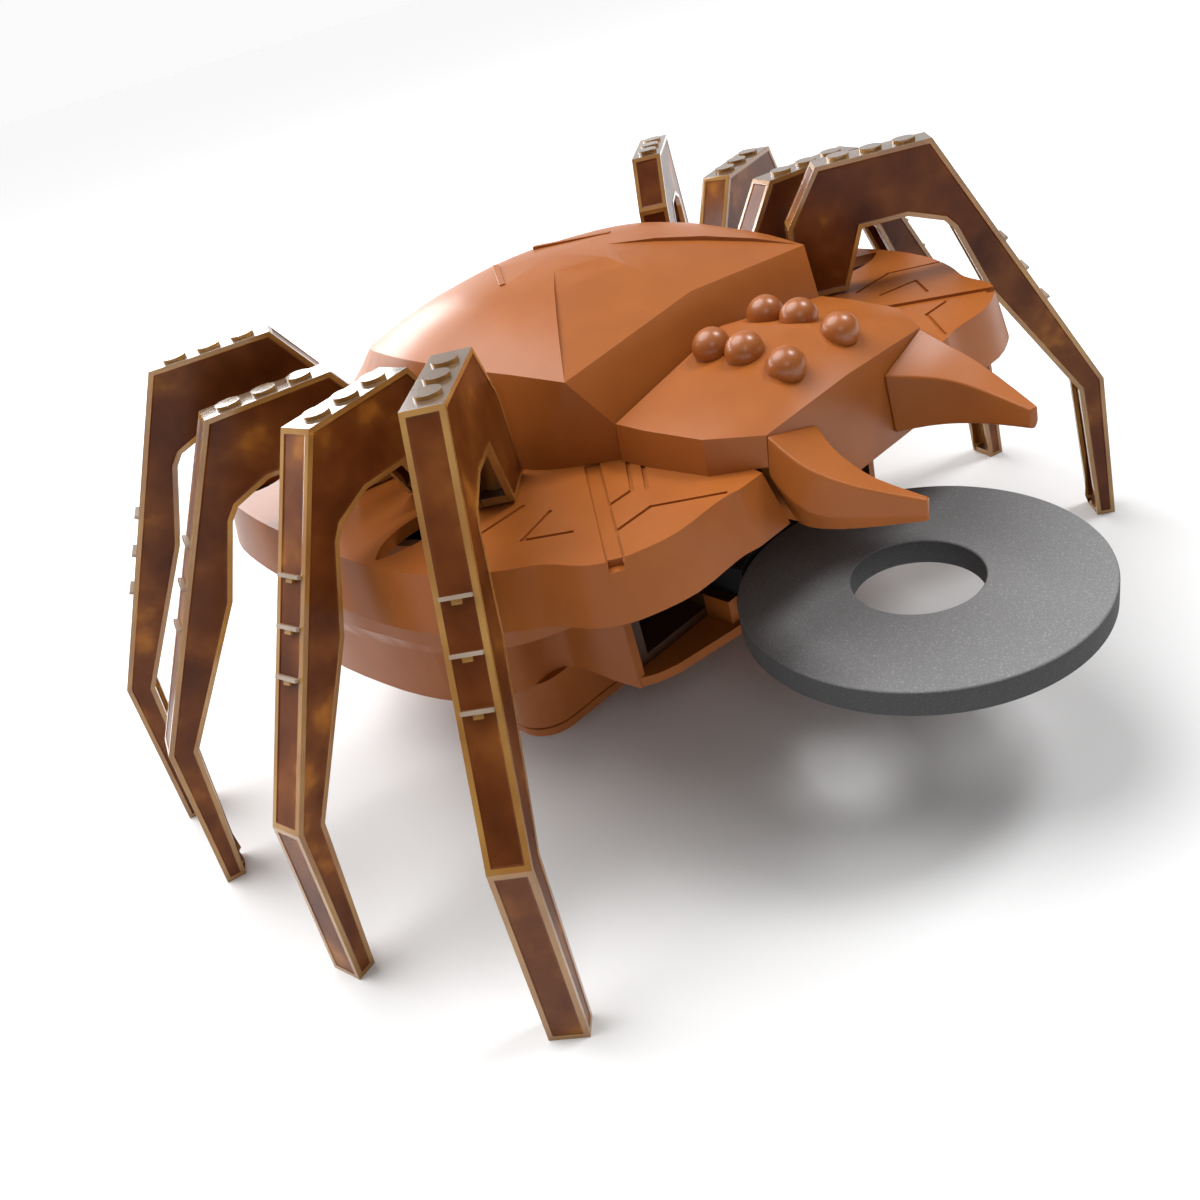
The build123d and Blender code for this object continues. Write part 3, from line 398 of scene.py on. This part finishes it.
def add_rungs(bm, rungs, proud, axes):
    """Thin ledges in a pale painted highlight between the rims, a small peg in the painted golden glow under each.
    """
    across, down, out = axes
    for spot, long in rungs:
        centre = spot + out * (proud - RUNG_SINK) / 2
        box_between(bm, centre, axes, (RUNG_WIDE, long, proud + RUNG_SINK), RUNG)
        centre = spot + down * (long + PEG_LONG) / 2 + out * (PEG_PROUD - RUNG_SINK) / 2
        box_between(bm, centre, axes, (PEG_WIDE, PEG_LONG, PEG_PROUD + RUNG_SINK), EDGE)


def slimness(face):
    """Area over outline length: half the width of a long strip."""
    return face.calc_area() / sum(e.calc_length() for e in face.edges)


def framed_leg(source, label):
    """Copy of a leg whose flat faces get a border in a painted golden glow, a fine step and a dark sunk panel; its
    level tops get a painted sheen.
    """
    bm = bmesh.new()
    bm.from_mesh(source.data)
    bmesh.ops.remove_doubles(bm, verts=bm.verts, dist=MERGE_GAP)
    rungs, proud, axes = take_rungs(bm)
    bmesh.ops.dissolve_limit(bm, angle_limit=MERGE_ANGLE, verts=bm.verts, edges=bm.edges)
    crisp = bm.edges.layers.float.new("bevel_weight_edge")
    for edge in bm.edges:
        sharp = len(edge.link_faces) == 2 and edge.calc_face_angle() > EDGE_ANGLE
        if sharp and edge.calc_length() > EDGE_LONG:
            edge[crisp] = 1.0
    # level tops take the painted sheen, other faces the painted golden glow until the wide ones turn to dark core
    for face in bm.faces:
        face.material_index = TOP if face.normal.z >= LEVEL else EDGE
    wide = [f for f in bm.faces if f.calc_area() > BIG_FACE and f.normal.z < LEVEL and slimness(f) > SLIM]
    bmesh.ops.inset_individual(bm, faces=wide, thickness=RIM, depth=0, use_even_offset=True)
    for face in wide:
        face.material_index = CORE
    panels = [f for f in wide if f.calc_area() > SMALL_FACE]
    bmesh.ops.inset_individual(bm, faces=panels, thickness=SECOND_RIM, depth=-RELIEF, use_even_offset=True)
    add_rungs(bm, rungs, proud, axes)
    bmesh.ops.triangulate(bm, faces=[f for f in bm.faces if len(f.verts) > 4])
    obj = object_from(bm, label, LEG_MATERIALS)
    obj.matrix_world = source.matrix_world.copy()
    bevel = obj.modifiers.new("round", "BEVEL")
    bevel.width = EDGE_ROUND
    bevel.segments = EDGE_STEPS
    bevel.limit_method = "WEIGHT"
    return obj


for side in ("left", "right"):
    for index in range(1, 5):
        name = f"leg_{side}_{index}"
        leg = framed_leg(nodes[name], f"clear_{name}")
        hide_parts(name)
        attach(leg, f"walk_{side}_{index}")


# ---------------------------------------------------------------- foam ring with soft edges
HOLE_RADIUS, FOAM_ROUND = 9.0 * MM, 0.35 * MM
FOAM_SIDES, CORNER_STEPS = 160, 3


def foam_profile(outer, tall):
    """Radius and height of the ring's section, once round, with its four corners rounded."""
    profile = []
    for radius, height, out, up in ((outer, tall, 1, 1), (outer, 0, 1, -1),
                                    (HOLE_RADIUS, 0, -1, -1), (HOLE_RADIUS, tall, -1, 1)):
        corner = []
        for step in range(CORNER_STEPS + 1):
            turn = math.pi / 2 * step / CORNER_STEPS
            corner.append((radius - out * FOAM_ROUND * (1 - math.cos(turn)),
                           height - up * FOAM_ROUND * (1 - math.sin(turn))))
        profile += corner if out * up < 0 else corner[::-1]
    return profile


def foam_disc():
    """Flat ring the size of the CAD one, its four edges a little rounded."""
    low, high = (Vector(v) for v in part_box("foam_ring"))
    centre = (low + high) / 2
    profile = foam_profile((high.x - low.x) / 2, high.z - low.z)
    bm = bmesh.new()
    rings = []
    for i in range(FOAM_SIDES):
        turn = 2 * math.pi * i / FOAM_SIDES
        rings.append([bm.verts.new((centre.x + r * math.cos(turn), centre.y + r * math.sin(turn), low.z + z))
                      for r, z in profile])
    for i in range(FOAM_SIDES):
        near, far = rings[i], rings[(i + 1) % FOAM_SIDES]
        for k in range(len(profile)):
            j = (k + 1) % len(profile)
            bm.faces.new((near[k], near[j], far[j], far[k]))
    bmesh.ops.recalc_face_normals(bm, faces=bm.faces)
    obj = object_from(bm, "foam_disc", (foam_mat,))
    shade_smooth(obj.data)
    even = obj.modifiers.new("even", "WEIGHTED_NORMAL")
    even.weight = 60
    return obj


disc = foam_disc()
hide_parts("foam_ring")
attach(disc, "ring")


# ---------------------------------------------------------------- floor and surroundings
FLOOR_SIZE, FLOOR_TONE = 40.0, 0.74
PAPER, SKY, DIM = ((tone,) * 3 for tone in (0.96, 0.36, 0.05))
TURN_LOW, TURN_HIGH = 0.05, 0.55        # how far towards the back the dim front gives way to the paper

bpy.ops.mesh.primitive_plane_add(size=FLOOR_SIZE, location=(0, 0, 0))
floor = bpy.context.object
floor.name = "floor"
floor_mat, _, shader = new_material("pale floor")
set_sockets(shader, {"Base Color": (FLOOR_TONE, FLOOR_TONE, FLOOR_TONE, 1), "Roughness": 0.9,
                     "Specular IOR Level": 0.0})
floor.data.materials.append(floor_mat)


def studio_world():
    """Pale paper low down behind the robot, dim in front of it, soft grey overhead."""
    world = bpy.data.worlds.new("studio")
    world.use_nodes = True
    tree = world.node_tree
    coords = tree.nodes.new("ShaderNodeTexCoord")
    axes = tree.nodes.new("ShaderNodeSeparateXYZ")
    tree.links.new(coords.outputs["Generated"], axes.inputs[0])
    behind = ramp(tree, axes.outputs[2], ((0.0, PAPER), (0.16, PAPER), (0.32, SKY), (1.0, SKY)))
    in_front = ramp(tree, axes.outputs[2], ((0.0, DIM), (0.3, DIM), (0.6, SKY), (1.0, SKY)))
    turn = tree.nodes.new("ShaderNodeMapRange")
    set_sockets(turn, {"From Min": TURN_LOW, "From Max": TURN_HIGH})
    tree.links.new(axes.outputs[1], turn.inputs[0])
    mix = tree.nodes.new("ShaderNodeMix")
    mix.data_type = "RGBA"
    tree.links.new(turn.outputs[0], mix.inputs["Factor"])
    tree.links.new(in_front, mix.inputs[MIX_A])
    tree.links.new(behind, mix.inputs[MIX_B])
    tree.links.new(mix.outputs[MIX_RESULT], tree.nodes["Background"].inputs[0])
    return world


bpy.context.scene.view_settings.view_transform = "Standard"
bpy.context.scene.world = studio_world()


# ---------------------------------------------------------------- lights
def aim_at(obj, direction, axis):
    """Turn a light so that the given axis of it points in that direction."""
    obj.rotation_euler = direction.to_track_quat(axis, "Y").to_euler()


def area_light(name, spot, aim, size, power):
    """Rectangular light at spot that shines towards aim."""
    light = bpy.data.lights.new(name, "AREA")
    light.shape = "RECTANGLE"
    light.size, light.size_y = size
    light.energy = power
    obj = place_in_scene(name, light)
    obj.location = spot
    aim_at(obj, Vector(aim) - Vector(spot), "-Z")


sun = bpy.data.lights.new("overhead", "SUN")
sun.energy = 3.4
sun.angle = math.radians(52)
aim_at(place_in_scene("overhead", sun), Vector((-0.15, 0.55, 1.0)), "Z")

area_light("upper right box", (0.57, -0.26, 1.02), (0, -0.02, 0.05), (0.32, 0.32), 7.0)
area_light("front left box", (-0.26, -0.34, 0.34), (0, -0.04, 0.05), (0.16, 0.16), 0.22)
area_light("low back box", (-0.10, 0.62, 0.22), (0, 0.0, 0.05), (0.8, 0.16), 3.6)


# ---------------------------------------------------------------- camera at the photograph's angle
AZIMUTH, ELEVATION, ROLL = (math.radians(degrees) for degrees in (-34.5, 31.76, -16.41))
CAMERA_SPOT = Vector((-100.468, -112.953, 109.570)) * MM
LENS, SENSOR, NEAREST = 30.65, 36.0, 0.01


def camera_place():
    """The camera's matrix: it looks against `back`, its picture turned by ROLL."""
    back = Vector((math.sin(AZIMUTH) * math.cos(ELEVATION), -math.cos(AZIMUTH) * math.cos(ELEVATION),
                   math.sin(ELEVATION)))
    level = Vector((math.cos(AZIMUTH), math.sin(AZIMUTH), 0))
    upward = back.cross(level)
    right = math.cos(ROLL) * level + math.sin(ROLL) * upward
    top = -math.sin(ROLL) * level + math.cos(ROLL) * upward
    place = Matrix((right, top, back)).transposed().to_4x4()
    place.translation = CAMERA_SPOT
    return place


camera_data = bpy.data.cameras.new("camera")
camera_data.lens, camera_data.sensor_width, camera_data.clip_start = LENS, SENSOR, NEAREST
camera = place_in_scene("camera", camera_data)
camera.matrix_world = camera_place()
bpy.context.scene.camera = camera
